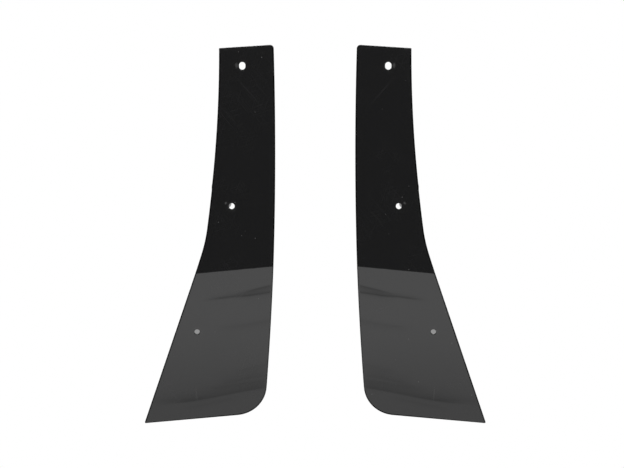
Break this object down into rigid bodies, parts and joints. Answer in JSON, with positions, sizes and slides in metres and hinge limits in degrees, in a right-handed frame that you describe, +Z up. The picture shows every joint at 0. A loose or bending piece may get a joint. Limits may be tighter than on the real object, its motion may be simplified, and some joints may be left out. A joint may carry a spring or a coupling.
{
  "type": "mud flap pair",
  "caption": "Handed pair of flared splash guards, each a thin glossy plastic sheet folded back along its lower third, with holes to bolt it behind a wheel.",
  "frame": {"origin": "middle of the box around both flaps", "axes": "+Z up as fitted, show faces look towards -Y, and X = 0 is the vehicle's middle plane between the flaps"},
  "size_m": [0.4098, 0.0664, 0.4544],
  "materials": {
    "gloss_black_sheet": "polished black sheet with fine handling scratches and satin routed edges"
  },
  "bodies": {
    "root": {"left_flap": "gloss_black_sheet", "right_flap": "gloss_black_sheet"}
  },
  "joints": []
}
